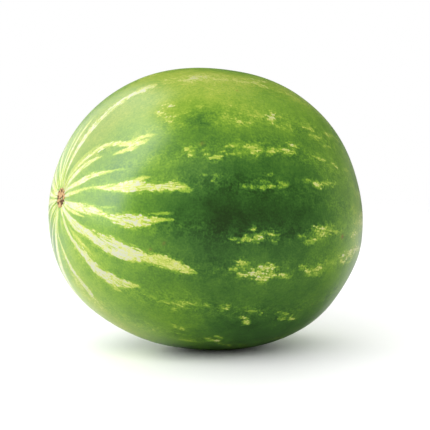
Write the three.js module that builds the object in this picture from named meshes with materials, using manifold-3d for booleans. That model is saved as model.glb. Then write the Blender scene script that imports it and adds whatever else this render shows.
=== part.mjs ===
// A watermelon as picked, lying on its side. It is one solid: a long round fruit with faint ribs,
// a corky scar at the blossom end and a short dry stub of stem in a dimple at the other end.
// Millimetres, +Z up. The blossom end points to -X, tilted a little upwards, and the fruit rests
// on its small flat ground spot at z = 0. The origin is under the middle of its bounding box.
import * as THREE from "three";
import { mergeVertices } from "three/addons/utils/BufferGeometryUtils.js";
import Module from "manifold-3d";

const wasm = await Module();
wasm.setup();

// The fruit's body. Fullness is the exponent of its outline: 2 is an ellipse, more is blunter.
const fruitLength = 270;
const fruitDiameter = 240;
const blossomFullness = 2.34;
const stemFullness = 2.26;
const bendHeight = 7.4; // how far the two ends droop below the middle
const ribCount = 10;
const ribHeight = 0.5;

// Broad swells and flats, each at an angle from the blossom end and an angle round the fruit from
// its top, towards -Y. Heights are in millimetres, and reach is the angle at which it has faded.
const swells = [
  { fromBlossom: 20, around: 40, height: 1.4, reach: 20 },
  { fromBlossom: 28, around: 180, height: 1.4, reach: 14 },
  { fromBlossom: 58, around: 180, height: -2.4, reach: 17 },
  { fromBlossom: 60, around: 300, height: -1.2, reach: 34 },
  { fromBlossom: 74, around: 0, height: -1.6, reach: 24 },
  { fromBlossom: 95, around: 250, height: 1.3, reach: 40 },
  { fromBlossom: 108, around: 180, height: -1, reach: 12 },
  { fromBlossom: 118, around: 10, height: 1.2, reach: 22 },
  { fromBlossom: 140, around: 45, height: -0.8, reach: 12 },
  { fromBlossom: 148, around: 136, height: -1.2, reach: 8 },
  { fromBlossom: 160, around: 100, height: 5.5, reach: 10 },
];

// The blossom end: a shallow dimple that holds a round scar of dry cork.
const blossomDimple = { depth: 3, radius: 17 };
const scarRadius = 8.3;
const scarHeight = 0.9;
const scarHollow = 0.5; // how far the scar's middle lies below its rim

// The stem end: a deeper dimple with the stub of the stem.
const stemDimple = { depth: 5, radius: 15 };
const stubHeight = 9;
const stubRadius = 4.4;
const collarRadius = 7.6;
const collarHeight = 2.4;

// How the fruit lies.
const tilt = THREE.MathUtils.degToRad(9.6); // the blossom end is up by this much
const groundSpotDepth = 1.6; // how much of the round underside the flat spot takes off

// Facets.
const meridians = 80;
const rings = 52;

const halfLength = fruitLength / 2;
const radius = fruitDiameter / 2;

const dip = ({ depth, radius: reach }, r) => depth * Math.exp(-((r / reach) ** 2));

// How far along the axis the skin lies at radius r near each end, the dimple included.
const blossomSkin = (r) =>
  -halfLength * (1 - (r / radius) ** 2) ** (1 / blossomFullness) + dip(blossomDimple, r);
const stemSkin = (r) =>
  halfLength * (1 - (r / radius) ** 2) ** (1 / stemFullness) - dip(stemDimple, r);

// The outline from the scar's middle to the stub's, as points (radius, distance along the axis).
function fruitOutline() {
  const scar = [
    [0, scarHeight - scarHollow],
    [scarRadius * 0.6, scarHeight - scarHollow * 0.7],
    [scarRadius * 0.88, scarHeight],
    [scarRadius, scarHeight * 0.6],
  ].map(([r, rise]) => new THREE.Vector2(r, blossomSkin(r) - rise));

  const body = [];
  for (let i = 0; i <= rings; i++) {
    const angle = (Math.PI * (i + 1.5)) / (rings + 3);
    const share = Math.abs(Math.cos(angle));
    const fullness = angle < Math.PI / 2 ? blossomFullness : stemFullness;
    const r = radius * Math.sqrt(1 - share ** fullness);
    body.push(new THREE.Vector2(r, angle < Math.PI / 2 ? blossomSkin(r) : stemSkin(r)));
  }

  const stubFoot = stemSkin(stubRadius);
  const stub = [
    [collarRadius, stemSkin(collarRadius)],
    [collarRadius * 0.86, stubFoot + collarHeight * 0.6],
    [stubRadius * 1.15, stubFoot + collarHeight],
    [stubRadius * 0.95, stubFoot + stubHeight * 0.6],
    [stubRadius, stubFoot + stubHeight * 0.95],
    [stubRadius * 0.8, stubFoot + stubHeight],
    [0, stubFoot + stubHeight * 0.93],
  ].map(([r, along]) => new THREE.Vector2(r, along));

  return [...scar, ...body, ...stub];
}

// The direction from the fruit's middle at an angle from the blossom end and an angle round it.
function direction(fromBlossom, around) {
  const a = THREE.MathUtils.degToRad(fromBlossom);
  const b = THREE.MathUtils.degToRad(around);
  return new THREE.Vector3(-Math.cos(a), -Math.sin(a) * Math.sin(b), Math.sin(a) * Math.cos(b));
}

// Gives the turned body its ribs, its swells and the droop of its two ends.
function growUneven(geometry) {
  const lumps = swells.map((s) => ({
    ...s,
    towards: direction(s.fromBlossom, s.around),
    fade: 1 - Math.cos(THREE.MathUtils.degToRad(s.reach)),
  }));
  const position = geometry.getAttribute("position");
  const point = new THREE.Vector3();
  for (let i = 0; i < position.count; i++) {
    point.fromBufferAttribute(position, i);
    const along = point.x / halfLength;
    const outward = new THREE.Vector3(along, point.y / radius, point.z / radius).normalize();
    const belly = 1 - outward.x ** 2;
    const around = Math.atan2(-point.y, point.z);
    let rise = ribHeight * belly * Math.cos(ribCount * around);
    for (const lump of lumps)
      rise += lump.height * Math.exp((outward.dot(lump.towards) - 1) / lump.fade);
    point.addScaledVector(outward, rise * Math.sqrt(belly));
    point.z -= bendHeight * (along ** 2 - 1 / 3);
    position.setXYZ(i, point.x, point.y, point.z);
  }
  return geometry;
}

function solidOf(geometry) {
  const bare = geometry.clone();
  bare.deleteAttribute("normal");
  bare.deleteAttribute("uv");
  const merged = mergeVertices(bare);
  return new wasm.Manifold(
    new wasm.Mesh({
      numProp: 3,
      vertProperties: merged.getAttribute("position").array,
      triVerts: new Uint32Array(merged.index.array),
    }),
  );
}

function geometryOf(solid) {
  const { vertProperties, triVerts } = solid.getMesh();
  const geometry = new THREE.BufferGeometry();
  geometry.setAttribute("position", new THREE.BufferAttribute(vertProperties, 3));
  geometry.setIndex(new THREE.BufferAttribute(triVerts, 1));
  geometry.computeVertexNormals();
  return geometry;
}

// Cuts the flat ground spot off the underside, and stands the fruit on it over the origin.
function layDown(geometry) {
  geometry.rotateY(tilt);
  geometry.computeBoundingBox();
  const low = geometry.boundingBox.min.z + groundSpotDepth;
  const slab = new THREE.BoxGeometry(2 * fruitLength, 2 * fruitLength, fruitLength);
  slab.translate(0, 0, low - fruitLength / 2);
  const lying = geometryOf(solidOf(geometry).subtract(solidOf(slab)));
  lying.computeBoundingBox();
  const middle = lying.boundingBox.getCenter(new THREE.Vector3());
  return lying.translate(-middle.x, -middle.y, -low);
}

const rind = new THREE.MeshStandardMaterial({ color: 0x4a8a30, roughness: 0.35, metalness: 0 });

const turned = new THREE.LatheGeometry(fruitOutline(), meridians).rotateZ(-Math.PI / 2);
const watermelon = new THREE.Mesh(layDown(growUneven(turned)), rind);
watermelon.name = "watermelon";

const part = new THREE.Group();
part.add(watermelon);

export default part;
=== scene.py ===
import math
import random

import bpy
import numpy as np
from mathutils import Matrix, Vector, noise


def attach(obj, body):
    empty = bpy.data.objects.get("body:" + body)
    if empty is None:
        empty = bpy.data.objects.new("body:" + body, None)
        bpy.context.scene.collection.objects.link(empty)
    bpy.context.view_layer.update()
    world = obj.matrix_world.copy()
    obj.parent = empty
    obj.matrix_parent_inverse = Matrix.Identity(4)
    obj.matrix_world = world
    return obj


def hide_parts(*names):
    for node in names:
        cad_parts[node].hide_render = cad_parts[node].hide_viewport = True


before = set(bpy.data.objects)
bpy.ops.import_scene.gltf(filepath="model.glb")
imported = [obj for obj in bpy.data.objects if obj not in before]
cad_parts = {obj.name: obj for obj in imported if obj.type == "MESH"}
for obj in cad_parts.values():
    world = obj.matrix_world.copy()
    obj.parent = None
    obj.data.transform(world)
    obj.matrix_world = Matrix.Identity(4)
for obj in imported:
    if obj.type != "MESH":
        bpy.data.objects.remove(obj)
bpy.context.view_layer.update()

mm = 0.001  # Blender works in metres, and the fruit's sizes are given in millimetres


# node helpers

def addNode(tree, kind, inputs=(), **settings):
    # inputs are given by name or number, or as values in the sockets' order
    made = tree.nodes.new(kind)
    for name, value in settings.items():
        setattr(made, name, value)
    for name, value in inputs.items() if isinstance(inputs, dict) else enumerate(inputs):
        plug(made.inputs[name], value)
    return made


def plug(socket, value):
    # a socket is linked, and anything else is set as the value
    if isinstance(value, bpy.types.NodeSocket):
        socket.id_data.links.new(value, socket)
    else:
        socket.default_value = value


def treeOf(values):
    # the tree that the first socket among the values is in
    return next(v for v in values if isinstance(v, bpy.types.NodeSocket)).id_data


def calc(operation, *values):
    return addNode(treeOf(values), "ShaderNodeMath", values, operation=operation).outputs[0]


def times(first, *others):
    for other in others:
        first = calc("MULTIPLY", first, other)
    return first


def minus(first, second):
    return calc("SUBTRACT", first, second)


def addUp(total, *shares):
    # a value with shares of others added: each is (value, factor)
    for value, factor in shares:
        total = calc("MULTIPLY_ADD", value, factor, total)
    return total


def vectorCalc(operation, *values):
    made = addNode(treeOf(values), "ShaderNodeVectorMath", values, operation=operation)
    return made.outputs["Value" if operation in ("DOT_PRODUCT", "LENGTH") else "Vector"]


def joinXyz(*xyz):
    return addNode(treeOf(xyz), "ShaderNodeCombineXYZ", xyz).outputs[0]


def splitXyz(vector):
    return addNode(vector.id_data, "ShaderNodeSeparateXYZ", [vector]).outputs


def ramp(value, low, high, toLow=0.0, toHigh=1.0, smooth=True):
    # remaps a value, clamped at both ends
    made = addNode(value.id_data, "ShaderNodeMapRange", (value, low, high, toLow, toHigh), clamp=True,
                   interpolation_type="SMOOTHSTEP" if smooth else "LINEAR")
    return made.outputs["Result"]


def mixValue(share, first, second):
    return addNode(share.id_data, "ShaderNodeMix", {0: share, 2: first, 3: second}).outputs[0]


def mixColour(share, first, second):
    inputs = {0: share, 6: first, 7: second}
    return addNode(share.id_data, "ShaderNodeMix", inputs, data_type="RGBA").outputs[2]


def colourOf(red, green, blue):
    # from 0-255 screen values to the linear colour that sockets take
    linear = [((c / 255 + 0.055) / 1.055) ** 2.4 if c > 10 else c / 3295 for c in (red, green, blue)]
    return (*linear, 1.0)


def newGroup(name, kind, inputs, outputs):
    # each input and output has its start value, or the kind of its socket
    tree = bpy.data.node_groups.new(name, kind)
    for inOut, sockets in (("INPUT", inputs), ("OUTPUT", outputs)):
        for socketName, start in sockets.items():
            socketKind = start if isinstance(start, str) else type(start).__name__.title()
            made = tree.interface.new_socket(
                socketName, in_out=inOut, socket_type="NodeSocket" + socketKind)
            if socketKind != start:
                made.default_value = start
    return tree, tree.nodes.new("NodeGroupInput").outputs, tree.nodes.new("NodeGroupOutput").inputs


def useGroup(group, *values):
    # a node of that group, its inputs given in their order
    tree = treeOf(values)
    kind = tree.bl_idname.replace("Tree", "Group")
    return addNode(tree, kind, values, node_tree=group).outputs[0]


def spreadNodes(tree):
    # columns by distance from the output, so that the tree can be read when it is opened
    links = [(link.from_node, link.to_node) for link in tree.links]
    column = {n: 0 for n in tree.nodes}
    for _ in tree.nodes:
        for before, after in links:
            column[before] = max(column[before], column[after] + 1)
    rows = {}
    for n in tree.nodes:
        rows[column[n]] = rows.get(column[n], 0) + 1
        n.location = (-220 * column[n], -190 * rows[column[n]])


# the shape of the fruit

fruit = {
    "length": 270 * mm,
    "diameter": 240 * mm,
    "blossomFullness": 2.34,  # 2 is an ellipse, more is blunter
    "stemFullness": 2.26,
    "bendHeight": 7.4 * mm,  # how far the two ends droop below the middle
    "ribCount": 10,
    "ribHeight": 0.5 * mm,
    "tilt": math.radians(9.6),
    "groundSpotDepth": 1.6 * mm,
    "stubOverhang": 3.26 * mm,  # how far the stem's stub reaches past the rind
    "unevenness": 0.1 * mm,
    "meridians": 448,
    "rings": 220,
}
blossomDimple = {"depth": 3 * mm, "radius": 17 * mm}
stemDimple = {"depth": 5 * mm, "radius": 15 * mm}
pucker = {"depth": 0.35 * mm, "from": 6 * mm, "to": 34 * mm, "folds": 19}
dentSpacing = 22 * mm

# angle from the blossom end, angle round the fruit from its top, height in mm, reach
swells = [
    (20, 40, 1.4, 20), (28, 180, 1.4, 14), (58, 180, -2.4, 17), (60, 300, -1.2, 34),
    (74, 0, -1.6, 24), (95, 250, 1.3, 40), (108, 180, -1.0, 12), (118, 10, 1.2, 22),
    (140, 45, -0.8, 12), (148, 136, -1.2, 8), (160, 100, 5.5, 10),
]


def swellGroup():
    tree, given, result = newGroup(
        "swell", "GeometryNodeTree",
        {"Outward": "Vector", "From Blossom": 0.0, "Around": 0.0, "Height": 0.0, "Reach": 0.0},
        {"Rise": "Float"})
    across = calc("SINE", given["From Blossom"])
    towards = joinXyz(times(calc("COSINE", given["From Blossom"]), -1.0),
                      times(across, calc("SINE", given["Around"]), -1.0),
                      times(across, calc("COSINE", given["Around"])))
    off = minus(vectorCalc("DOT_PRODUCT", given["Outward"], towards), 1.0)
    fade = minus(1.0, calc("COSINE", given["Reach"]))
    plug(result["Rise"], times(calc("EXPONENT", calc("DIVIDE", off, fade)), given["Height"]))
    spreadNodes(tree)
    return tree


def dip(offAxis, dimple):
    fade = calc("POWER", calc("DIVIDE", offAxis, dimple["radius"]), 2.0)
    return times(calc("EXPONENT", times(fade, -1.0)), dimple["depth"])


# the fruit's values as the tree's inputs are called: blossomFullness is Blossom Fullness
rindInputs = {"".join(" " + c if c.isupper() else c for c in key).title(): value
              for key, value in fruit.items()}


def rindTree():
    tree, given, result = newGroup("rindShape", "GeometryNodeTree",
                                   {**rindInputs, "Finish": "Material"}, {"Geometry": "Geometry"})

    def change(kind, geometry, inputs=None, **settings):
        # one more step in making the geometry
        inputs = {"Geometry": geometry, **(inputs or {})}
        return addNode(tree, "GeometryNode" + kind, inputs, **settings).outputs["Geometry"]

    ball = addNode(tree, "GeometryNodeMeshUVSphere", (given["Meridians"], given["Rings"], 1.0))
    place = addNode(tree, "GeometryNodeInputPosition").outputs[0]
    x, y, z = splitXyz(place)
    around = calc("ARCTAN2", y, x)
    cosAround = calc("COSINE", around)
    sinAround = calc("SINE", around)

    # where each point is on the skin: its share of the way from the blossom end, and its direction round
    fromBlossom = calc("ARCCOSINE", times(z, -1.0))
    skin = joinXyz(calc("DIVIDE", fromBlossom, math.pi), cosAround, sinAround)
    marked = change("StoreNamedAttribute", ball.outputs["Mesh"], {"Name": "skin", "Value": skin},
                    data_type="FLOAT_VECTOR", domain="POINT")

    # the turned outline
    halfLength = times(given["Length"], 0.5)
    radius = times(given["Diameter"], 0.5)
    stemSide = calc("GREATER_THAN", z, 0.0)
    blossomSide = minus(1.0, stemSide)
    fullness = calc("ADD", times(given["Blossom Fullness"], blossomSide),
                    times(given["Stem Fullness"], stemSide))
    share = calc("MINIMUM", calc("ABSOLUTE", z), 1.0)
    offAxis = times(radius, calc("SQRT", minus(1.0, calc("POWER", share, fullness))))
    dips = minus(times(dip(offAxis, blossomDimple), blossomSide), times(dip(offAxis, stemDimple), stemSide))
    along = calc("ADD", times(halfLength, z), dips)
    outline = joinXyz(along, times(offAxis, sinAround, -1.0), times(offAxis, cosAround))

    # ribs and swells rise from it, less and less towards the two ends
    outward = vectorCalc("DIVIDE", outline, joinXyz(halfLength, radius, radius))
    outward = vectorCalc("NORMALIZE", outward)
    belly = calc("MAXIMUM", minus(1.0, calc("POWER", splitXyz(outward)["X"], 2.0)), 0.0)
    rise = times(calc("COSINE", times(around, given["Rib Count"])), given["Rib Height"], belly)
    for fromEnd, roundTop, height, reach in swells:
        swell = useGroup(swellNodes, outward, math.radians(fromEnd), math.radians(roundTop),
                         height * mm, math.radians(reach))
        rise = calc("ADD", rise, swell)
    dents = addNode(tree, "ShaderNodeTexNoise",
                    {"Vector": outline, "Scale": 1 / dentSpacing, "Detail": 1.0, "Roughness": 0.4})
    dent = times(minus(dents.outputs["Fac"], 0.5), 2.0)
    rise = calc("ADD", rise, times(dent, given["Unevenness"]))
    rise = times(rise, calc("SQRT", belly))
    lift = vectorCalc("MULTIPLY", outward, joinXyz(rise, rise, rise))

    # fine folds run out of both dimples
    folds = calc("COSINE", times(around, pucker["folds"]))
    grow = ramp(offAxis, pucker["from"] * 0.5, pucker["from"] * 1.6)
    fade = ramp(offAxis, pucker["from"] * 2, pucker["to"], 1.0, 0.0)
    foldLift = times(folds, grow, fade, pucker["depth"], calc("SIGN", z))

    bend = minus(calc("POWER", calc("DIVIDE", along, halfLength), 2.0), 1 / 3)
    droop = times(bend, given["Bend Height"], -1.0)
    grown = vectorCalc("ADD", vectorCalc("ADD", outline, lift), joinXyz(foldLift, 0.0, droop))
    body = change("SetPosition", marked, {"Position": grown})

    # it is tilted, its underside is pressed flat, and it stands on the floor over the origin
    turned = change("Transform", body, {"Rotation": joinXyz(0.0, given["Tilt"], 0.0)})
    box = addNode(tree, "GeometryNodeBoundBox", {"Geometry": turned}).outputs
    low, high, here = splitXyz(box["Min"]), splitXyz(box["Max"]), splitXyz(place)
    floorHeight = calc("ADD", low["Z"], given["Ground Spot Depth"])
    farX = calc("ADD", high["X"], given["Stub Overhang"])
    middleX = times(calc("ADD", low["X"], farX), 0.5)
    middleY = times(calc("ADD", low["Y"], high["Y"]), 0.5)
    resting = joinXyz(minus(here["X"], middleX), minus(here["Y"], middleY),
                      calc("MAXIMUM", minus(here["Z"], floorHeight), 0.0))
    laid = change("SetShadeSmooth", change("SetPosition", turned, {"Position": resting}))
    real = change("RealizeInstances", laid)
    plug(result["Geometry"], change("SetMaterial", real, {"Material": given["Finish"]}))
    spreadNodes(tree)
    return tree


def addObject(name, data):
    made = bpy.data.objects.new(name, data)
    bpy.context.scene.collection.objects.link(made)
    return made


def grownObject(name, tree, values):
    # runs a geometry tree once and keeps its result as a plain mesh
    host = addObject(name + "Host", bpy.data.meshes.new(name + "Host"))
    modifier = host.modifiers.new("grow", "NODES")
    modifier.node_group = tree
    for item in tree.interface.items_tree:
        if item.in_out == "INPUT":
            modifier[item.identifier] = values[item.name]
    depsgraph = bpy.context.evaluated_depsgraph_get()
    mesh = bpy.data.meshes.new_from_object(host.evaluated_get(depsgraph), depsgraph=depsgraph)
    host.modifiers.clear()
    bpy.data.objects.remove(host)
    mesh.name = name
    return addObject(name, mesh)


# the markings, drawn on the skin as strokes

# Each flame is a pale stroke along the fruit. Its points are the angle from the blossom end, the
# angle round from the top, the half width in mm, and how pale it is where that isn't 1.
flames = [
    [(4, -22, 0.7, 0.9), (9, -14, 1.3, 0.9), (15, -11, 1.8, 0.9), (22, -9, 1.6, 0.8), (28, -9, 0.6, 0.4)],
    [(4, -6, 0.7, 0.9), (10, -2, 1.5, 0.9), (18, 0, 2.2, 0.9), (27, 1, 2.0, 0.8), (34, 1.5, 0.6, 0.4)],
    [(4, 10, 0.9, 0.9), (10, 13.5, 1.7, 0.9), (15, 14, 2.4, 0.95), (20, 13.5, 3.1), (25, 13.7, 3.4),
     (30, 13.5, 3.6), (36, 13.5, 3.9), (41, 14, 4.0), (45, 14.8, 3.2, 0.95), (48, 15.5, 4.6),
     (51, 16.2, 5), (53.5, 16.8, 3.8, 0.9), (56, 17, 1, 0.5)],
    [(6, 30, 0.8, 0.5), (12, 33, 1.9, 0.45), (18, 36, 2.2, 0.45), (24, 38, 1.5, 0.3), (28, 39, 0.5, 0.2)],
    [(4, 34, 0.6, 0.8), (9, 37, 1.1, 0.75), (14, 39, 1.4, 0.7), (19, 40.5, 1.6, 0.8), (23, 42, 2.1),
     (27, 43, 2.3, 0.9), (30, 44, 2, 0.85), (33, 47, 2.2, 0.75), (36, 50, 2.6, 0.75),
     (39, 52.5, 2.8, 0.75), (42, 53.5, 2.8, 0.8), (44, 54, 2, 0.7), (46, 54, 0.8, 0.4)],
    [(38, 50.5, 0.6, 0.5), (42, 50.5, 1.8, 0.7), (46, 51.5, 1.6, 0.6), (50, 52, 0.6, 0.3)],
    [(32, 54.5, 0.8, 0.5), (36, 55, 1.8, 0.7), (39, 55.5, 1.6, 0.7), (42, 56.5, 0.6, 0.4)],
    [(4, 44, 0.9, 0.9), (9, 46.5, 1.7, 0.95), (13, 47.5, 2.2), (18, 47.5, 2.4), (21.5, 48.5, 2.1, 0.95),
     (25, 50, 1.2, 0.7), (28, 51, 0.5, 0.4)],
    [(4, 57, 0.8, 0.9), (8, 61.5, 1.5), (12, 63.3, 2.1), (15, 64.3, 2.5), (19, 64, 2.3), (23, 63.8, 2.3),
     (26, 65, 1.8, 0.9), (29, 65.8, 1.2, 0.6), (33, 66.5, 0.8, 0.3), (38, 67.5, 0.4, 0.2)],
    [(4, 76, 1.3), (8, 77, 1.9, 0.95), (13, 76.5, 1.7, 0.8), (18, 75.2, 1.2, 0.6), (23, 75.5, 1.2, 0.5),
     (27, 77, 1.6, 0.8), (30, 77.8, 2.4, 0.85), (34, 78, 3.2, 0.87), (38, 77.8, 5, 0.92),
     (41, 77.8, 5.1, 0.93), (44, 78.8, 2.9, 0.93), (48, 79, 2.9, 0.93), (52, 79, 3.5, 0.95),
     (55.5, 78.5, 3.3, 0.92), (58, 78.8, 2, 0.7), (60, 79.5, 0.8, 0.4)],
    [(40, 74.5, 0.8, 0.5), (43, 74, 2, 0.7), (45.5, 74, 0.6, 0.4)],
    [(56, 80.5, 0.6, 0.4), (59, 80.8, 1.6, 0.4), (61, 80.5, 0.5, 0.3)],
    [(4, 103, 1.3), (8, 99.5, 2.1), (12, 97.8, 2.9), (16, 96.8, 3.7), (20, 96, 4.3), (24, 96, 3.8),
     (27, 96, 3, 0.9), (29.5, 96, 1.6, 0.8), (31, 95, 0.6, 0.5)],
    [(28, 91.5, 0.6, 0.3), (31, 90.8, 1.2, 0.25), (34, 90.3, 0.6, 0.2)],
    [(5, 112, 0.8, 0.9), (10, 108, 1.3, 0.9), (14, 106.3, 1.5, 0.85), (17, 105.5, 1.1, 0.8),
     (20.5, 104.5, 0.5, 0.5)],
    [(29, 97.5, 0.8, 0.8), (32, 97.5, 2), (35, 97.3, 3.4), (38, 97.2, 4.6), (41, 97, 5), (44, 96.2, 4.6),
     (47, 95.6, 3.4, 0.95), (50, 94.2, 2.2, 0.8), (53, 93.6, 1.6, 0.5), (56, 93.2, 0.6, 0.4)],
    [(47, 91.8, 0.6, 0.3), (50, 91.2, 1, 0.35), (54, 90.6, 1, 0.4), (55.5, 90.2, 0.5, 0.3)],
    [(4, 132, 1.4), (7, 124, 2.1), (10, 120.5, 2.7), (15, 119.8, 3.5), (18, 119.6, 4.1), (22, 117.8, 4.1),
     (26, 116.5, 4.1), (30, 116.4, 5.5), (35, 115.4, 7.5), (38, 115, 7.3), (42, 114.6, 6.3),
     (46, 113.6, 5.5), (50, 113, 4.4, 0.85), (54, 112.3, 5.2, 0.8), (58, 112.5, 5.4, 0.85),
     (62, 112.9, 5, 0.95), (65, 113.4, 3, 0.9), (68, 113.6, 0.8, 0.6)],
    [(4, 150, 1.2, 0.9), (8, 139.5, 1.7), (12, 138.5, 2.1, 0.95), (16, 138.5, 1.8, 0.85),
     (20, 138, 2.2, 0.95), (24, 136.2, 3.1), (28, 135.8, 4.1), (32, 136.5, 4.5), (36, 137, 4.8),
     (40, 135.4, 5.2), (43, 135, 5, 0.95), (45.5, 133.5, 4.6, 0.95), (48, 131.5, 3.4, 0.8),
     (51, 129.5, 1.4, 0.5)],
    [(14, 131.5, 0.6, 0.4), (18, 131, 2, 0.5), (23, 130, 2.3, 0.55), (27, 129.5, 1.6, 0.4),
     (31, 130, 0.6, 0.3)],
    [(40, 139, 0.6, 0.4), (44, 138.5, 2, 0.5), (46.5, 138, 0.6, 0.3)],
    [(5, 190, 0.5, 0.8), (12, 176, 0.8, 0.8), (17, 168.5, 1.2, 0.8), (20, 166, 1.7, 0.85),
     (25, 163.8, 2.1), (30, 161.8, 2.5), (34, 160.7, 3.1), (37, 160, 3.1), (40, 160.7, 2.5),
     (42.5, 161.5, 1, 0.8)],
]

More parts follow.
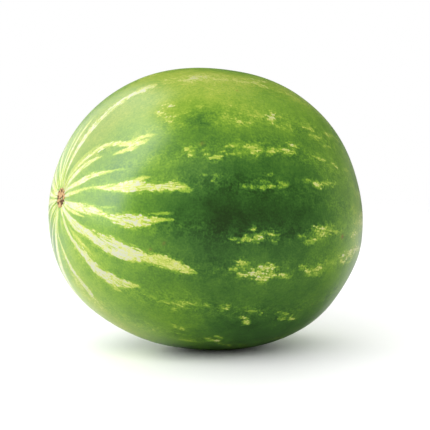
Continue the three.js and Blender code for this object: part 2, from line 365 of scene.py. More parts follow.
# Beyond the flames the same stripes go on as broken patches, stripe by stripe. Each is a short stroke
# between two points: angle from the blossom end and angle round, twice, then half width in mm, paleness.
patches = [
    (128, 101.5, 136, 98, 3.6, 1), (130, 90, 136, 87, 2.4, 0.9), (88, 18, 99, 19, 2.8, 0.85),
    (66, 20.5, 75.5, 20.5, 2.2, 0.95), (75.5, 23, 77.5, 24, 1.4, 0.7), (80.5, 22.5, 84.5, 24.5, 2.4, 0.5),
    (83, 23, 95, 25, 3.6, 0.55), (90, 22, 95, 22.5, 2.6, 0.5), (100.5, 26, 107.5, 27.5, 2.6, 0.5),
    (53, 36.5, 57, 38.5, 2.2, 0.9), (49.5, 40.5, 53.5, 41.5, 2, 0.85), (51.5, 46, 57, 44.5, 2, 0.85),
    (61.5, 38, 64, 38, 1, 0.3), (61.5, 41.8, 67, 41.8, 1.2, 0.4), (60, 44.5, 62, 43.8, 1, 0.35),
    (71.5, 42, 78.5, 42, 1.2, 0.35), (71.5, 48.2, 77.5, 49, 2, 0.6), (69, 50.7, 72, 51, 1, 0.4),
    (74, 50.3, 83, 51, 2, 0.6), (76, 52.6, 82, 52.6, 1.2, 0.35), (82, 44.8, 85.5, 45, 1, 0.4),
    (83.2, 47.2, 85.6, 47.2, 1.4, 0.7), (88.5, 46.8, 93, 45.5, 3.6, 1), (91, 44, 95, 43.3, 1.6, 0.8),
    (87.5, 49, 92, 48.3, 2, 0.75), (93, 45.8, 98.5, 45.6, 1.2, 0.4), (93.8, 48.8, 98.2, 48.8, 1.6, 0.75),
    (91.5, 50.8, 98.5, 51.2, 1.2, 0.4), (104, 47.2, 110, 46.8, 1.8, 0.5),
    (104.5, 44.8, 112, 44, 1.2, 0.3), (106.3, 50, 112, 50.2, 1.8, 0.5), (112, 53, 118, 51.2, 1.4, 0.4),
    (114.5, 44.6, 119.5, 43.6, 2, 0.55), (119, 42.5, 125, 42, 1.8, 0.35),
    (57.5, 62, 61.5, 63.5, 2.2, 0.55), (58.5, 65, 61.5, 65.2, 1.8, 0.6), (62.5, 63.5, 64.5, 63.5, 1, 0.5),
    (64.5, 65.5, 67, 66.5, 1.6, 0.6), (66, 67.3, 71, 66, 2.2, 0.6), (69.5, 64.5, 71.5, 64.2, 1, 0.4),
    (71.5, 62.3, 75.8, 61.8, 1.6, 0.75), (71.5, 64.5, 79, 65, 1.2, 0.35), (78.5, 62, 86, 62, 2.8, 0.6),
    (80.5, 63.8, 83.2, 64, 2.4, 0.85), (86, 62.8, 91, 61.8, 1.8, 0.6), (90, 61.3, 98, 61.3, 2.2, 0.75),
    (95, 58.6, 99.8, 58.4, 2.2, 0.8), (86, 64, 89, 63.6, 1.2, 0.4), (106.8, 60.3, 112.8, 60.4, 1.6, 0.7),
    (115, 60.4, 119, 60.1, 1.2, 0.65), (104.5, 61, 108, 60.6, 1, 0.35),
    (123, 58.5, 130.5, 57.8, 1.6, 0.3), (131.5, 66.8, 138, 64.3, 1.6, 0.55),
    (137, 64.5, 144, 61.2, 1.8, 0.6),
    (64, 74.2, 65.3, 74.2, 0.9, 0.5), (66.8, 74.3, 70, 74.4, 0.8, 0.35), (67, 76.5, 69.5, 76.3, 1, 0.4),
    (76.5, 77.4, 83, 77.7, 1, 0.35), (82, 77.6, 87, 76.8, 1.2, 0.4), (86.5, 76.8, 89, 76.3, 1.3, 0.6),
    (81, 75.5, 88, 74.5, 1.2, 0.25), (91, 76.2, 93.5, 76, 1.2, 0.55), (90, 74.8, 95, 74.8, 1.2, 0.4),
    (86, 72.5, 88.5, 71.5, 1, 0.35), (103.8, 72, 109.5, 72.5, 1.8, 0.7),
    (105.5, 72.8, 108.8, 72.3, 1.2, 0.85), (108.5, 71.2, 117, 68.8, 1.8, 0.55),
    (100, 72, 104.5, 71.5, 1.4, 0.35), (138, 77, 150, 71.5, 3.2, 0.7), (138, 81, 150, 78.5, 4, 1),
    (130.5, 82.5, 141, 82.8, 1.8, 0.4),
    (82, 93, 84.6, 92.8, 1, 0.6), (75.2, 97.8, 81, 97.6, 0.9, 0.6), (80, 97.2, 85, 96.8, 1.8, 0.75),
    (83.5, 96.2, 88, 95.3, 2.4, 1), (86.5, 94.4, 92.8, 94, 1.6, 0.7), (91, 96.3, 93.3, 95.8, 1, 0.4),
    (106.3, 89.9, 110.5, 89.2, 2, 1), (110, 89, 117, 88.8, 2.2, 0.8), (108.5, 92.2, 114, 91, 2, 0.75),
    (103.8, 95.3, 109.5, 94.3, 1.8, 0.6), (100.8, 93.5, 106, 92.8, 1.6, 0.35),
    (112, 87.3, 117, 86.8, 1.4, 0.4), (116.5, 89.3, 121, 89.5, 1.6, 0.4),
    (124.3, 100.5, 130, 99.3, 2.4, 1), (128.5, 98.5, 136.5, 97.5, 3.4, 1),
    (131, 100.8, 137, 100.6, 2, 0.6), (124.5, 102.8, 129.5, 102.8, 2, 0.65),
    (129, 103, 136, 103.3, 1.2, 0.35), (135, 97, 147, 96.3, 4.2, 1),
    (79.5, 106.2, 84.5, 106.4, 2, 0.6), (78.5, 109.3, 84, 108.8, 1.8, 0.5),
    (84.5, 109.8, 95, 109.8, 3.2, 1), (88, 107.3, 94.5, 106.8, 2.6, 0.85), (88.5, 112, 94, 111.3, 2.8, 1),
    (81, 110.6, 88, 110.6, 2.4, 0.8), (94.5, 109, 101.8, 109.7, 1.6, 0.75),
    (104, 105.4, 106, 105.3, 1.2, 0.6), (107, 106, 113, 106.8, 1.8, 0.7),
    (111.5, 105.6, 117, 105, 1.8, 0.8), (107.5, 108, 116, 107.9, 1.8, 0.65),
    (112.5, 103.6, 120, 102.8, 1.6, 0.25),
    (60, 132, 65, 131.6, 1.6, 0.4), (62.5, 131.5, 69, 130.8, 1.8, 0.5), (66, 129.3, 72, 127.6, 1.8, 0.5),
    (65, 133.6, 67, 134, 1.2, 0.35), (74.5, 127.3, 77, 127.5, 1.4, 0.6),
    (80.5, 127.8, 84.3, 127.2, 2, 0.7), (82, 126, 84, 125.5, 1.2, 0.5), (91, 127.8, 98, 127.6, 1.6, 0.35),
    (95, 128.3, 97.8, 128, 1.2, 0.5), (90.5, 131.3, 93.5, 132, 1.8, 0.7),
    (91.5, 133, 95, 134.5, 2.2, 0.7), (103, 128.3, 109.5, 128.5, 1.8, 0.4),
    (105, 130.6, 108.5, 131.5, 1.6, 0.55), (110, 131, 113.8, 132.6, 2.2, 0.65),
    (66.3, 140.5, 68.2, 144, 1.2, 0.45), (69, 143.3, 74, 144, 2, 0.5),
    (71.8, 147.5, 74, 148.2, 1.4, 0.45), (64, 152, 67, 154.5, 1.6, 0.5), (58, 156.5, 61, 157, 1.6, 0.5),
    (60, 149, 62, 149.5, 1.2, 0.3), (84, 148, 90, 150, 2.4, 0.8), (86, 145, 90, 146.5, 1.8, 0.45),
    (76, 155, 82.5, 154.5, 2.4, 0.5), (89.5, 151, 93, 153.5, 1.6, 0.45), (94, 152.5, 97, 156, 2, 0.55),
    (100.5, 154, 104, 156, 1.6, 0.35), (112, 148.5, 117, 150, 1.6, 0.35),
]

# how light the green is on the whole, by the angle from the blossom end
rindTone = {
    "at": (0, 14, 30, 44, 60, 90, 120, 150, 180),
    "tone": (0.54, 0.54, 0.53, 0.49, 0.42, 0.32, 0.36, 0.48, 0.62),
}

# Broad lighter and darker areas of the green, partly its own tone and partly painted light and shade:
# the darker middle facing the camera is partly painted shade, the lighter top partly painted light, and
# the lighter lower left partly a painted reflection of the floor. Each gives the angle from the blossom
# end, the angle round, how far it reaches along and round in degrees, and how much lighter it is.
paintedLightAndTone = [
    (86, 88, 30, 18, -0.26), (58, 92, 12, 11, -0.12), (66, 49, 7, 6, -0.2), (96, 31, 7, 5, -0.1),
    (90, 14, 45, 32, 0.38), (88, -8, 40, 21, -0.36), (51, 160, 9, 14, -0.06), (85, 100, 5, 4, 0.1),
    (71, 52, 6, 4, 0.12), (77, 64, 5, 4, 0.08), (118.5, 99.5, 5, 5, -0.1), (17, 206, 9, 14, -0.2),
    (15, 164, 5, 8, -0.1), (63, 51, 4, 4, -0.1), (73, 93, 6, 7, -0.14), (65, 83, 5, 5, -0.08),
    (77, 67.5, 4, 3, -0.09), (70.5, 75, 4, 3, 0.08), (72, 108, 6, 4, -0.1), (112, 94, 4, 3, 0.1),
    (58, -2, 11, 12, 0.09), (130, 16, 14, 12, 0.11), (112, 38, 20, 14, -0.02), (82, 40, 8, 7, -0.05),
    (86, 72, 24, 12, -0.03), (106, 84, 6, 6, -0.07), (49, 82, 6, 8, 0.03), (72, 28, 16, 16, 0.12),
    (62, 4, 14, 12, 0.16), (53, 40, 8, 8, 0.1), (34, 60, 12, 18, -0.17), (52, 60, 6, 7, -0.1),
    (28, 26, 26, 42, 0.13), (78, 42, 16, 8, 0.1), (107, 18, 10, 10, 0.1), (52, 84, 9, 12, -0.1),
    (70, 74, 14, 7, -0.09), (134, 76, 8, 10, 0.1), (124, 62, 20, 30, 0.08), (62, 112, 10, 10, -0.12),
    (30, 129, 10, 6, 0.12), (25, 140, 10, 14, 0.06), (55, 103, 8, 8, 0.06), (136, 92, 10, 16, 0.12),
    (92, 130, 24, 16, -0.12), (112, 142, 22, 14, -0.12), (48, 170, 26, 24, 0.22), (64, 172, 16, 14, 0.2),
    (24, 190, 14, 12, -0.12), (66, 60, 7, 6, -0.1), (64, 100, 8, 7, -0.09), (50, 125, 7, 8, -0.09),
    (90, 118, 7, 24, 0.08), (99, 70, 6, 12, -0.05), (120, 104, 8, 10, 0.1), (30, 87, 6, 6, -0.12),
    (120, 100, 6, 7, 0.1), (69, 130, 6, 5, 0.09), (30, 160, 6, 6, 0.08), (100, 150, 7, 6, -0.07),
    (82, 172, 8, 8, -0.08), (84, 256, 30, 26, -0.16), (100, 318, 24, 20, -0.1),
]

# painted shade: where the ground is darkened on the strongly lit upper shoulder; the middle and the reach
# # as for the areas above, and how much
shoulderPaintedShade = (28, 28, 26, 42, 0.27)

# small brown scuffs: the angle from the blossom end, the angle round, radius in mm, how strong
scuffs = [
    (123.6, 90.8, 1.6, 0.9), (50, 108.5, 1.2, 0.4), (54, 104, 1.2, 0.4), (64, 60.5, 1.4, 0.35),
    (81, 33, 1.2, 0.4),
]

# the middle line of each stripe, as (angle from the blossom end, angle round)
stripes = [
    [(10, -8), (40, -7), (90, 5), (135, 10)],
    [(10, 6), (40, 13), (90, 25), (135, 33)],
    [(10, 42), (40, 51), (90, 47), (135, 50)],
    [(10, 61), (30, 66), (60, 64), (90, 61), (135, 65)],
    [(10, 75), (40, 78), (90, 76), (135, 79)],
    [(10, 100), (40, 97), (90, 95), (110, 91), (135, 86)],
    [(10, 127), (40, 115), (90, 109), (135, 98)],
    [(10, 145), (40, 136), (70, 129), (110, 129), (135, 118)],
    [(14, 175), (40, 163), (70, 150), (95, 152), (120, 149)],
]

# the angles round between which no stripes are listed
hiddenSide = {"seed": 11, "from": 186, "to": 345, "stripeSpacing": 18}


def hiddenStripes(dice):
    # more stripes of the same kind for the far side, with their flames and patches
    around = hiddenSide["from"]
    while around < hiddenSide["to"]:
        drift = dice.uniform(-6, 6)
        stripes.append([(8, around + drift), (40, around),
                        (90, around - drift * 0.5), (140, around - drift)])
        length = dice.uniform(38, 62)
        widest = dice.uniform(2.2, 6.2)
        bend = dice.uniform(-2, 2)
        flames.append([
            (5, around + drift, 0.6, 0.9),
            (12, around + drift * 0.8, 0.9 + widest * 0.2),
            (length * 0.45, around + bend, widest * 0.6),
            (length * 0.65, around + bend, widest),
            (length * 0.8, around, widest * 0.7, 0.9),
            (length, around - bend, 0.7, 0.5)])
        if dice.random() < 0.6:
            side = around + dice.choice((-4.5, 4.5))
            flames.append([(6, side + drift, 0.5, 0.8), (16, side, dice.uniform(1, 1.8), 0.9),
                           (dice.uniform(24, 34), side, 0.5, 0.6)])
        at = length + dice.uniform(2, 8)
        while at < 140:
            span = dice.uniform(4, 14)
            off = around - drift * (at - 40) / 100 + dice.uniform(-2, 2)
            patches.append((at, off, at + span, off + dice.uniform(-2, 2),
                            dice.uniform(0.9, 3.6), dice.uniform(0.4, 0.95)))
            at += span * 0.8 + dice.uniform(0, 9)
        around += hiddenSide["stripeSpacing"] * dice.uniform(0.85, 1.15)


def stemEndFlames(dice):
    # the stripes close up again at the stem end, as thin pale lines
    for line in list(stripes):
        end = line[-1][1]
        start = dice.uniform(136, 162)
        flames.append([
            (start, end, 0.4, 0.3),
            (start * 0.6 + 67, end + dice.uniform(-2, 2), dice.uniform(1.0, 3.6), dice.uniform(0.6, 1)),
            (168, end + dice.uniform(-2, 2), 1.3),
            (176, end, 0.6, 0.9)])


def angleGap(a, b):
    return (a - b + 180) % 360 - 180


def skinOf(mesh):
    # what the rind's tree stored on its points
    skin = np.zeros(len(mesh.vertices) * 3, np.float32)
    mesh.attributes["skin"].data.foreach_get("vector", skin)
    return skin.reshape(-1, 3)


def addLayer(mesh, name, values):
    layer = mesh.attributes.new(name, "FLOAT", "POINT")
    layer.data.foreach_set("value", np.array(values, np.float32))


# what is kept on each point: mm inside the nearest mark's edge, that mark's paleness and how broken
# # it is, the stripes, the green's lightness (partly painted light and shade), the painted shade on the
# # shoulder and the scuffs
layerNames = ("level", "pale", "broken", "stripe", "lightness", "dull", "scuffed")


def paintMarks(mesh):
    count = len(mesh.vertices)
    skin = skinOf(mesh)
    fromBlossom = skin[:, 0] * 180
    around = np.degrees(np.arctan2(skin[:, 2], skin[:, 1]))
    # the fruit's radius there in mm, and about how many mm one degree of length is
    lean = np.abs(np.cos(np.radians(fromBlossom)))
    fullness = np.where(fromBlossom < 90, fruit["blossomFullness"], fruit["stemFullness"])
    radius = fruit["diameter"] / 2 / mm * np.sqrt(np.clip(1 - lean ** fullness, 0, 1))
    degreeAlong = 2.3

    def aside(middle):
        # mm off a line to either side
        return np.abs(angleGap(around, middle)) * math.pi / 180 * radius

    def beyond(start, end):
        # mm past either end
        return np.maximum(0, np.maximum(start - fromBlossom, fromBlossom - end)) * degreeAlong

    def area(along, sideways, reachAlong, reachRound, amount):
        far = ((fromBlossom - along) / reachAlong) ** 2 + (angleGap(around, sideways) / reachRound) ** 2
        return amount * np.exp(-far)

    inside = np.full(count, -30.0)  # mm inside the nearest mark's edge, less than 0 outside it
    pale = np.zeros(count)
    broken = np.zeros(count)
    soft = np.ones(count)

    def keep(depth, paleness, brokenness, softness):
        better = depth / softness > inside / soft
        for kept, new in ((inside, depth), (pale, paleness), (broken, brokenness), (soft, softness)):
            kept[better] = (new + np.zeros(count))[better]

    tips = np.clip((fromBlossom - 40) / 18, 0, 1)
    for line in flames:
        ends, rounds, widths, pales = np.array([(*point, 1)[:4] for point in line], float).T
        middle = np.interp(fromBlossom, ends, rounds)
        half = np.interp(fromBlossom, ends, widths)
        keep(half - aside(middle) - beyond(ends[0], ends[-1]) * 0.6,
             np.interp(fromBlossom, ends, pales), tips, np.clip(0.35 + 0.24 * half, 0.5, 1.5))
    for start, startRound, end, endRound, half, paleness in patches:
        reach = (fromBlossom - start) / (end - start)
        middle = startRound + (endRound - startRound) * np.clip(reach, 0, 1)
        taper = np.sqrt(np.clip(1 - (2 * reach - 1) ** 2, 0, 1))
        keep(half * taper - aside(middle) - beyond(start, end) * 0.8,
             min(1, paleness * 1.15), 1.0, 1.0 + 0.55 * half)

    stripe = np.zeros(count)
    for line in stripes:
        middle = np.interp(fromBlossom, *np.array(line, float).T)
        stripe = np.maximum(stripe, np.exp(-(angleGap(around, middle) / 4.6) ** 2))

    lightness = np.interp(fromBlossom, rindTone["at"], rindTone["tone"])
    # the broad areas add their painted light and shade to the green's tone here
    for shade in paintedLightAndTone:
        lightness += area(*shade)

    scuffed = np.zeros(count)
    for along, sideways, size, strength in scuffs:
        far = ((fromBlossom - along) * degreeAlong) ** 2 + aside(sideways) ** 2
        scuffed = np.maximum(scuffed, strength * np.exp(-far / size ** 2))

    layers = (inside / soft, pale, broken, stripe, lightness, area(*shoulderPaintedShade), scuffed)
    for name, values in zip(layerNames, layers):
        addLayer(mesh, name, values)


# finishes

def grainGroup():
    # even noise about 0, from -1 to 1, whose grains are Size across
    tree, given, result = newGroup(
        "grain", "ShaderNodeTree",
        {"Place": "Vector", "Size": 0.01, "Detail": 3.0, "Roughness": 0.55}, {"Grain": "Float"})
    cloud = addNode(tree, "ShaderNodeTexNoise", {
        "Vector": given["Place"], "Scale": calc("DIVIDE", 1.0, given["Size"]),
        "Detail": given["Detail"], "Roughness": given["Roughness"]})
    plug(result["Grain"], ramp(cloud.outputs["Fac"], 0.25, 0.75, -1.0, 1.0, smooth=False))
    spreadNodes(tree)
    return tree


def grain(place, size, detail, roughness):
    return useGroup(grainNodes, place, size, detail, roughness)


def cellsAt(place, scale):
    # how far a place is from the middle of its cell, and a chance value of that cell
    tree = place.id_data
    cells = addNode(tree, "ShaderNodeTexVoronoi", {"Vector": place, "Scale": scale}).outputs
    chance = addNode(tree, "ShaderNodeSeparateColor", {"Color": cells["Color"]}).outputs[0]
    return cells["Distance"], chance


def newFinish(name):
    material = bpy.data.materials.new(name)
    material.use_nodes = True
    tree = material.node_tree
    tree.nodes.clear()
    shader = addNode(tree, "ShaderNodeBsdfPrincipled")
    addNode(tree, "ShaderNodeOutputMaterial", {"Surface": shader.outputs[0]})
    place = addNode(tree, "ShaderNodeTexCoord").outputs["Object"]
    return material, tree, shader.inputs, place


def setShader(shader, colour, roughness, specular, bumps=None, strength=0.0):
    # sets the shader's own sockets; bumps are a height in mm
    plug(shader["Base Color"], colour)
    shader["Roughness"].default_value = roughness
    shader["Specular IOR Level"].default_value = specular
    if bumps:
        bump = addNode(colour.id_data, "ShaderNodeBump",
                       {"Height": bumps, "Strength": strength, "Distance": 1 * mm})
        plug(shader["Normal"], bump.outputs["Normal"])
    spreadNodes(colour.id_data)


def stored(tree, name):
    # a value kept on the mesh's points
    return addNode(tree, "ShaderNodeAttribute", attribute_name=name).outputs["Fac"]


rindLook = {
    # a place and the colour there, from the deepest green to the cream of the flames
    "greens": [
        (0.0, 30, 54, 15), (0.11, 38, 73, 22), (0.22, 51, 91, 29), (0.33, 68, 108, 33),
        (0.44, 87, 126, 34), (0.56, 107, 144, 38), (0.67, 130, 158, 48), (0.78, 151, 169, 60),
        (0.88, 184, 190, 96), (1.0, 178, 180, 158),
    ],
    "scuff": colourOf(128, 84, 48),
    "tan": colourOf(172, 132, 78),  # rare specks
    "tanSpacing": 17,  # in mm
    "fringe": 0.72,  # where on the colours a mark's yellow-green fringe lies
    "vein": 0.74,  # and a vein in a flame
    "roughness": 0.3,
    "streak": (1.5, 8),  # width and length in mm
    "lump": (3.5, 14),
    "dash": (1.0, 2.6),
    "cell": (2.1, 2.8),
    "block": (3.0, 4.6),
    "longVein": (2.8, 24),
}


def alongSkin(skin, size):
    # places on the skin, in units of a width across and a length along the fruit
    width, length = size
    arc = fruit["length"] * math.pi / 2 * 0.94
    sideways = fruit["diameter"] / 2 / (width * mm)
    return vectorCalc("MULTIPLY", skin, (arc / (length * mm), sideways, sideways))


def skinGrain(skin, size, detail, roughness):
    return grain(alongSkin(skin, size), 2.0, detail, roughness)


def cellGrain(skin, warp, size):
    # small soft-edged cells, each lighter or darker by chance, from -1 to 1
    away, chance = cellsAt(vectorCalc("ADD", alongSkin(skin, size), warp), 1.0)
    return times(ramp(away, 0.3, 0.85, 1.0, 0.0), ramp(chance, 0.0, 1.0, -1.0, 1.0, smooth=False))


def rindFinish():
    look = rindLook
    material, tree, shader, place = newFinish("waxyRind")
    skin = addNode(tree, "ShaderNodeAttribute", attribute_name="skin").outputs["Vector"]
    level, pale, broken, stripe, lightness, dull, scuffed = (stored(tree, name) for name in layerNames)
    fromBlossom = splitXyz(skin)["X"]

    warp = addNode(tree, "ShaderNodeTexNoise", {"Vector": place, "Scale": 1 / (5 * mm), "Detail": 1.0})
    warp = vectorCalc("SUBTRACT", warp.outputs["Color"], (0.5, 0.5, 0.5))
    streak = skinGrain(skin, look["streak"], 2.0, 0.55)
    lump = skinGrain(skin, look["lump"], 1.0, 0.5)
    dash = skinGrain(skin, look["dash"], 1.0, 0.5)
    cell = cellGrain(skin, warp, look["cell"])
    block = cellGrain(skin, warp, look["block"])
    fine = grain(place, 1.5 * mm, 1.0, 0.6)
    patchy = grain(place, 6 * mm, 2.0, 0.55)
    smallCloud = grain(place, 15 * mm, 2.0, 0.5)
    cloud = grain(place, 48 * mm, 2.0, 0.5)

    # the green ground: broad areas with their painted light and shade, clouds, and a fine grain, lighter
    # along the stripes
    mottle = addUp(0.0, (patchy, 0.035), (cell, 0.035), (dash, 0.01), (fine, 0.065))
    mottle = times(mottle, addUp(0.6, (lightness, 0.6)))
    tone = addUp(lightness, (cloud, 0.05), (smallCloud, 0.05), (mottle, 1.0))
    speckled = calc("MAXIMUM", addUp(0.3, (cell, 0.35), (patchy, 0.6), (fine, 0.4)), -0.1)
    tone = calc("MAXIMUM", addUp(tone, (times(stripe, speckled), 0.12)), 0.0)

    # how pale a mark is at a point: flames have streaky edges, patches break up into small cells
    streaky = addUp(0.1, (lump, 0.6), (block, 0.9), (cell, 0.5), (dash, 0.5), (streak, 0.4), (fine, 0.3))
    crumbly = addUp(-0.1, (cell, 0.85), (block, 0.45), (dash, 0.65), (patchy, 0.5), (fine, 0.4))
    ragged = times(mixValue(broken, streaky, crumbly), ramp(fromBlossom, 0.03, 0.2, 0.1, 1.0))
    fringe = times(ramp(addUp(level, (ragged, 0.8)), -1.3, 0.5, smooth=False),
                   ramp(pale, 0.0, 0.8, smooth=False), ramp(fromBlossom, 0.06, 0.16))
    core = addUp(level, (ragged, 1.1), (broken, 0.2))
    core = times(ramp(core, ramp(fromBlossom, 0.05, 0.16, -0.5, 0.15), 1.0, smooth=False), pale)

    # fine pale lines run out of the blossom end all round
    spokes = addNode(tree, "ShaderNodeTexNoise", {
        "Vector": vectorCalc("MULTIPLY", skin, (1.6, 1.0, 1.0)), "Scale": 7.0, "Detail": 2.0})
    spokes = times(ramp(spokes.outputs["Fac"], 0.46, 0.6), ramp(fromBlossom, 0.024, 0.085, 1.0, 0.0))
    core = calc("MAXIMUM", core, spokes)

    # a few fine green veins wind along the pale flames, and short cracks part them into blocks
    winding = calc("ABSOLUTE", skinGrain(skin, look["longVein"], 3.0, 0.6))
    vein = times(ramp(winding, 0.03, 0.14, 1.0, 0.0), ramp(smallCloud, -0.3, 0.3),
                 ramp(fromBlossom, 0.05, 0.12))
    spot = vectorCalc("ADD", alongSkin(skin, look["block"]), warp)
    edge = addNode(tree, "ShaderNodeTexVoronoi", {"Vector": spot, "Scale": 1.0},
                   feature="DISTANCE_TO_EDGE").outputs["Distance"]
    crack = times(ramp(edge, 0.0, 0.14, 1.0, 0.0), ramp(patchy, -0.2, 0.5))
    heart = addUp(0.98, (vein, look["vein"] - 1.0), (crack, -0.16), (dash, 0.05), (fine, 0.07),
                  (block, 0.05), (broken, -0.07))

    lift = calc("MAXIMUM", minus(addUp(look["fringe"], (broken, -0.12)), tone), 0.05)
    paleness = addUp(tone, (fringe, lift))
    paleness = addUp(paleness, (core, minus(heart, paleness)))
    greens = addNode(tree, "ShaderNodeValToRGB", {"Fac": paleness})
    stops = greens.color_ramp.elements
    while len(stops) < len(look["greens"]):
        stops.new(0.5)
    for stop, (at, *green) in zip(stops, look["greens"]):
        stop.position = at
        stop.color = colourOf(*green)

    # painted shade: the ground, but not the marks' cores, is darkened towards black on the lit shoulder
    colour = mixColour(times(dull, minus(1.0, core)), greens.outputs["Color"], (0, 0, 0, 1))
    colour = mixColour(scuffed, colour, look["scuff"])
    away, chance = cellsAt(place, 1 / (look["tanSpacing"] * mm))
    tan = times(ramp(away, 0.03, 0.05, 1.0, 0.0), calc("LESS_THAN", chance, 0.15))
    colour = mixColour(times(tan, 0.5), colour, look["tan"])
    setShader(shader, colour, look["roughness"], 0.5, addUp(0.0, (fine, 0.008), (patchy, 0.03)), 0.5)
    return material


corkLook = {"pale": colourOf(172, 140, 98), "dark": colourOf(70, 46, 24)}


def corkFinish():
    material, tree, shader, place = newFinish("blossomCork")
    tone = calc("ADD", times(grain(place, 3.2 * mm, 3.0, 0.6), 0.3),
                times(grain(place, 0.9 * mm, 2.0, 0.6), 0.2))
    # darker in random blobs and down the scar's cracks
    darkening = ramp(calc("ADD", tone, stored(tree, "crack")), 0.1, 0.9)
    colour = mixColour(darkening, corkLook["pale"], corkLook["dark"])
    setShader(shader, colour, 0.85, 0.3, times(tone, -0.25), 0.8)
    return material


stubLook = {
    "skin": colourOf(122, 112, 62),
    "dry": colourOf(168, 146, 98),
    "cut": colourOf(198, 178, 132),
    "dark": colourOf(78, 62, 36),
}


def stubFinish():
    look = stubLook
    material, tree, shader, place = newFinish("dryStem")
    coarse = grain(place, 4 * mm, 3.0, 0.6)
    small = grain(place, 0.8 * mm, 2.0, 0.6)
    side = mixColour(ramp(coarse, -0.6, 0.7), look["skin"], look["dry"])
    furrow = ramp(calc("ADD", stored(tree, "groove"), times(small, 0.3)), 0.3, 1.0, 0.0, 0.7)
    side = mixColour(furrow, side, look["dark"])
    face = mixColour(ramp(small, -0.2, 0.9), look["cut"], look["dark"])
    setShader(shader, mixColour(stored(tree, "cut"), side, face), 0.8, 0.3, times(small, 0.2), 0.7)
    return material


# the two ends

def skinAlong(offAxis, blossom):
    # how far along the axis the bare skin lies at a distance off it
    fullness = fruit["blossomFullness" if blossom else "stemFullness"]
    dimple = blossomDimple if blossom else stemDimple
    share = (1 - (2 * offAxis / fruit["diameter"]) ** 2) ** (1 / fullness)
    along = fruit["length"] / 2 * share - dimple["depth"] * np.exp(-(offAxis / dimple["radius"]) ** 2)
    return -along if blossom else along


def layDown(points):
    # from the fruit's own axis to how it lies, all but a last shift
    points = np.array(points, float)
    bent = points[:, 2] - fruit["bendHeight"] * ((2 * points[:, 0] / fruit["length"]) ** 2 - 1 / 3)
    c, s = math.cos(fruit["tilt"]), math.sin(fruit["tilt"])
    return np.stack([points[:, 0] * c + bent * s, points[:, 1], -points[:, 0] * s + bent * c], 1)


def anglesRound(sides):
    return [2 * math.pi * k / sides for k in range(sides)]


def roundMesh(name, rows, sides, layers, shift, material):
    # rings of (place along the axis, distance off it), closed at both ends by a point
    points = [(along, -off * math.sin(angle), off * math.cos(angle))
              for row in rows for (along, off), angle in zip(row, anglesRound(sides))]
    points = layDown(points) + shift
    faces = []
    last = len(points) - 1
    lastRing = last - sides
    for k in range(sides):
        n = (k + 1) % sides
        faces.append((0, 1 + n, 1 + k))
        for ring in range(1, lastRing, sides):
            faces.append((ring + k, ring + n, ring + sides + n, ring + sides + k))
        faces.append((lastRing + k, lastRing + n, last))
    mesh = bpy.data.meshes.new(name)
    mesh.from_pydata(points.tolist(), [], faces)
    mesh.update()
    for layerName, values in layers.items():
        addLayer(mesh, layerName, values)
    mesh.polygons.foreach_set("use_smooth", [True] * len(mesh.polygons))
    mesh.materials.append(material)
    return addObject(name, mesh)


scar = {
    "radius": 8.3 * mm,
    "height": 0.9 * mm,
    "hollow": 0.5 * mm,
    "foot": 1.2 * mm,  # how deep its foot is sunk in the rind
    "crackDepth": 0.45 * mm,
    "rings": 36,
    "sides": 144,
}


def scarPiece(shift, material):
    rows, cracks = [], []
    stops = (0, 0.6, 0.88, 1.0, 1.02)
    heights = (scar["height"] - scar["hollow"], scar["height"] - 0.7 * scar["hollow"], scar["height"],
               scar["height"] * 0.55, -scar["foot"])
    spans = [i / scar["rings"] for i in range(scar["rings"] + 1)]
    angles = anglesRound(scar["sides"])
    for span in spans + [1.02]:
        row = []
        for angle in angles if span else angles[:1]:
            unit = Vector((span * math.cos(angle), span * math.sin(angle), 0.0))
            wavy = 1 + 0.05 * noise.noise(Vector((math.cos(angle) * 1.6, math.sin(angle) * 1.6, 3.1)))
            offAxis = span * scar["radius"] * wavy
            ridge = 1 - abs(noise.noise(unit * 1.9 + Vector((0, 0, 7.7)))) * 6
            pit = max(0.0, noise.noise(unit * 2.1 + Vector((4.2, 0, 1.3))) - 0.05) * 3.2
            crack = min(1.0, max(0.0, ridge) * 0.7 + pit) if span <= 1 else 0.0
            level = np.interp(span, stops, heights) - crack * scar["crackDepth"]
            along = skinAlong(min(offAxis, scar["radius"]), True) - level
            row.append((along, offAxis))
            cracks.append(crack)
        rows.append(row)
    rows.append([(skinAlong(0.0, True) + scar["foot"], 0)])
    cracks.append(0.0)
    return roundMesh("blossomScar", rows, scar["sides"], {"crack": cracks}, shift, material)


stub = {
    "height": 9 * mm,
    "radius": 4.4 * mm,
    "collarRadius": 7.6 * mm,
    "collarHeight": 2.4 * mm,
    "foot": 2 * mm,
    "ridges": 5,
    "ridgeHeight": 0.5 * mm,
    "sides": 120,
}


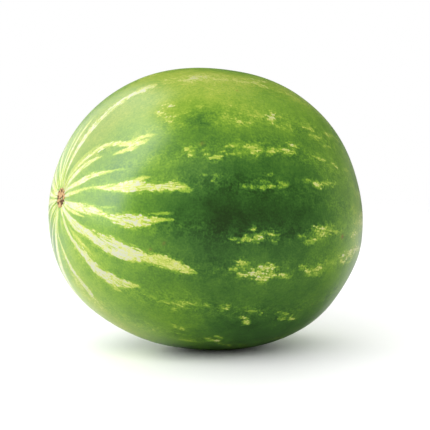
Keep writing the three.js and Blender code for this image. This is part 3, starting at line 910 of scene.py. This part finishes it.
def stubPiece(shift, material):
    thin, wide, tall = stub["radius"], stub["collarRadius"], stub["height"]
    foot = skinAlong(thin, False)
    edge = skinAlong(wide, False)
    # (radius, place along the axis, share of the ridges, cut face)
    shape = [
        (wide, edge - stub["foot"], 0.3, 0),
        (wide * 1.02, edge + 0.1 * mm, 0.4, 0),
        (wide * 0.86, foot + stub["collarHeight"] * 0.6, 1.0, 0),
        (thin * 1.15, foot + stub["collarHeight"], 1.0, 0),
        (thin * 0.95, foot + tall * 0.6, 0.8, 0),
        (thin, foot + tall * 0.95, 0.7, 0),
        (thin * 0.93, foot + tall, 0.6, 0.6),
        (thin * 0.8, foot + tall, 0.5, 1),
        (thin * 0.45, foot + tall * 0.94, 0.2, 1),
        (thin * 0.2, foot + tall * 0.91, 0.0, 1),
    ]
    fineRows = [[a + (b - a) * step / 5 for a, b in zip(first, second)]
                for first, second in zip(shape, shape[1:]) for step in range(5)]
    fineRows.append(shape[-1])
    # the rows run from the foot to the tip, so the first cap faces the fruit
    rows = [[(shape[0][1], 0)]]
    cuts, grooves = [0.0], [0.0]
    for offAxis, along, ridgeShare, cut in fineRows:
        row = []
        for angle in anglesRound(stub["sides"]):
            c, s = math.cos(angle), math.sin(angle)
            ridge = math.cos(stub["ridges"] * angle)
            fibre = noise.noise(Vector((c * 9, s * 9, along / (7 * mm))))
            lump = noise.noise(Vector((c * 2, s * 2, along / (3 * mm))))
            swell = (ridge * stub["ridgeHeight"] + fibre * 0.35 * mm + lump * 0.3 * mm) * ridgeShare
            row.append((along + lump * 0.5 * mm * cut, max(offAxis + swell, 0.1 * mm)))
            cuts.append(cut)
            grooves.append(max(0.0, -fibre * 1.6 - ridge * 0.3))
        rows.append(row)
    rows.append([(foot + tall * 0.9, 0)])
    cuts.append(1.0)
    grooves.append(0.0)
    return roundMesh("stemStub", rows, stub["sides"], {"cut": cuts, "groove": grooves}, shift, material)


# making the pieces

grainNodes = grainGroup()
swellNodes = swellGroup()

rind = grownObject("rind", rindTree(), {**rindInputs, "Finish": rindFinish()})
print("rind:", len(rind.data.polygons), "faces")

dice = random.Random(hiddenSide["seed"])
hiddenStripes(dice)
stemEndFlames(dice)
paintMarks(rind.data)
print("markings:", len(flames), "flames,", len(patches), "patches")

# the blossom pole is where the rind's mesh says, which gives the shift from the fruit's own axis
pole = int(np.argmin(skinOf(rind.data)[:, 0]))
shift = np.array(rind.data.vertices[pole].co) - layDown([(skinAlong(0.0, True), 0, 0)])[0]
blossomScar = scarPiece(shift, corkFinish())
stemStub = stubPiece(shift, stubFinish())
print("ends:", len(blossomScar.data.polygons), "and", len(stemStub.data.polygons), "faces")

for piece in (rind, blossomScar, stemStub):
    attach(piece, "root")
    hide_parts("watermelon")


# floor, light and camera

stage = {
    "floorRadius": 1.6,
    "floorSides": 96,
    "fadeFrom": 0.7,
    "fadeTo": 1.35,
    "floorColour": (0.92, 0.92, 0.92, 1),
    "roomLight": 0.55,
    "roomGloss": 0.05,  # what the fruit's gloss shows of the room
    "cardEdge": -80,  # a big white card left of the camera, seen in the gloss alone: where it
    "cardTop": 0.92,  # begins, how high it reaches, and its brightness there and at the far end
    "cardLean": 9,  # degrees that its edge leans back
    "cardNear": 7.6,
    "cardFar": 1.5,
    "backdropLight": 3.0,  # the white wall behind the fruit, as a light
    "backdropGloss": 0.3,  # and in the gloss
    "backdropAzimuth": 130,
    "topGloss": 0.15,  # how much more of the ceiling shows in the gloss
    "floorGloss": 0.7,  # how much of the floor shows in the fruit's gloss, behind and beside it
    "nearFloorGloss": 0.12,  # and before it
    "leftFloorGloss": 0.5,  # and how much more to the left of it
    "lampDistance": 1.5,  # from the fruit's middle
}
# azimuth and elevation as for the camera, width and height, and brightness, where 1 is white
lamps = {
    "frontSoftbox": (-45, 36, 2.4, 1.0, 3.65),
    "leftWall": (-135, 14, 2.2, 0.8, 3.15),
    "backStrip": (150, 54, 2.0, 0.5, 2.5),
}
view = {
    "azimuth": -25,
    "elevation": 6,
    "distance": 1.198,
    "frameWidth": 430,  # pixels
    "focalLength": 1400,  # pixels
    "fruitMiddleAt": (207.9, 208.6),
}


def directionOf(azimuth, elevation):
    a, e = math.radians(azimuth), math.radians(elevation)
    return Vector((math.sin(a) * math.cos(e), -math.cos(a) * math.cos(e), math.sin(e)))


def facing(way, azimuth, elevation=0):
    # the cosine between a way and a direction
    return vectorCalc("DOT_PRODUCT", way, directionOf(azimuth, elevation))


def floorPiece():
    sides, radius = stage["floorSides"], stage["floorRadius"]
    points = [(radius * math.cos(a), radius * math.sin(a), 0) for a in anglesRound(sides)]
    mesh = bpy.data.meshes.new("floor")
    mesh.from_pydata(points, [], [tuple(range(sides))])
    floor = addObject("floor", mesh)

    material, tree, shader, place = newFinish("paleFloor")
    # the fruit's gloss hardly shows the floor before it
    way = vectorCalc("NORMALIZE", place)
    shown = ramp(facing(way, view["azimuth"]), -0.6, 0.1, stage["floorGloss"], stage["nearFloorGloss"])
    beside = ramp(facing(way, view["azimuth"] - 90), 0.3, 0.9)
    shown = addUp(shown, (beside, stage["leftFloorGloss"]))
    glossy = addNode(tree, "ShaderNodeLightPath").outputs["Is Glossy Ray"]
    dim = minus(1.0, times(minus(1.0, shown), glossy))
    away = vectorCalc("LENGTH", place)
    plug(shader["Alpha"], ramp(away, stage["fadeFrom"], stage["fadeTo"], 1.0, 0.0))
    setShader(shader, mixColour(dim, (0, 0, 0, 1), stage["floorColour"]), 0.6, 0.25)
    mesh.materials.append(material)


def lightWorld():
    world = bpy.data.worlds.new("studio")
    bpy.context.scene.world = world
    world.use_nodes = True
    tree = world.node_tree
    tree.nodes.clear()
    way = addNode(tree, "ShaderNodeTexCoord").outputs["Generated"]
    height = splitXyz(way)["Z"]
    behind = ramp(facing(way, stage["backdropAzimuth"]), 0.4, 0.75)
    lit = times(behind, ramp(height, 0.2, 0.55, 1.0, 0.0))
    low = times(behind, ramp(height, 0.02, 0.3, 1.0, 0.0))
    room = ramp(lit, 0.0, 1.0, stage["roomLight"], stage["backdropLight"], smooth=False)
    gloss = ramp(low, 0.0, 1.0, stage["roomGloss"], stage["backdropGloss"], smooth=False)
    past = facing(way, stage["cardEdge"] - 90, stage["cardLean"])
    beside = facing(way, stage["cardEdge"] - 22)
    top = stage["cardTop"]
    card = times(ramp(past, -0.02, 0.05), ramp(beside, 0.0, 0.25),
                 ramp(height, top - 0.03, top + 0.03, 1.0, 0.0), ramp(height, -0.2, 0.08))
    cardGlow = ramp(past, 0.1, 0.95, stage["cardNear"], stage["cardFar"], smooth=False)
    gloss = addUp(gloss, (card, cardGlow), (ramp(height, 0.5, 0.95), stage["topGloss"]))
    ray = addNode(tree, "ShaderNodeLightPath").outputs
    strength = mixValue(ray["Is Glossy Ray"], room, gloss)
    # the camera itself sees plain white
    light, seen = (addNode(tree, "ShaderNodeBackground", {"Color": (1, 1, 1, 1), "Strength": value})
                   .outputs[0] for value in (strength, 1.0))
    either = addNode(tree, "ShaderNodeMixShader", (ray["Is Camera Ray"], light, seen))
    addNode(tree, "ShaderNodeOutputWorld", {"Surface": either.outputs[0]})
    spreadNodes(tree)


fruitMiddle = Vector((0, 0, fruit["diameter"] / 2))


def lightLamps():
    for name, (azimuth, elevation, width, height, bright) in lamps.items():
        data = bpy.data.lights.new(name, "AREA")
        data.shape = "RECTANGLE"
        data.size, data.size_y = width, height
        data.energy = bright * math.pi * width * height
        lit = addObject(name, data)
        towards = directionOf(azimuth, elevation)
        lit.location = fruitMiddle + towards * stage["lampDistance"]
        lit.rotation_euler = towards.to_track_quat("Z", "Y").to_euler()
        lit.visible_camera = False
        lit.visible_glossy = False


def placeCamera():
    data = bpy.data.cameras.new("camera")
    camera = addObject("camera", data)
    bpy.context.scene.camera = camera
    data.lens = data.sensor_width * view["focalLength"] / view["frameWidth"]
    back = directionOf(view["azimuth"], view["elevation"])
    right = Vector((0, 0, 1)).cross(back).normalized()
    up = back.cross(right)
    # the fruit's middle sits a little off the frame's, so the camera aims beside it
    across, down = (view["frameWidth"] / 2 - at for at in view["fruitMiddleAt"])
    metresPerPixel = view["distance"] / view["focalLength"]
    aim = fruitMiddle + right * across * metresPerPixel - up * down * metresPerPixel
    camera.location = fruitMiddle + back * view["distance"]
    camera.rotation_euler = (camera.location - aim).to_track_quat("Z", "Y").to_euler()


floorPiece()
lightWorld()
lightLamps()
placeCamera()
bpy.context.scene.view_settings.view_transform = "Standard"
print("stage and camera set")
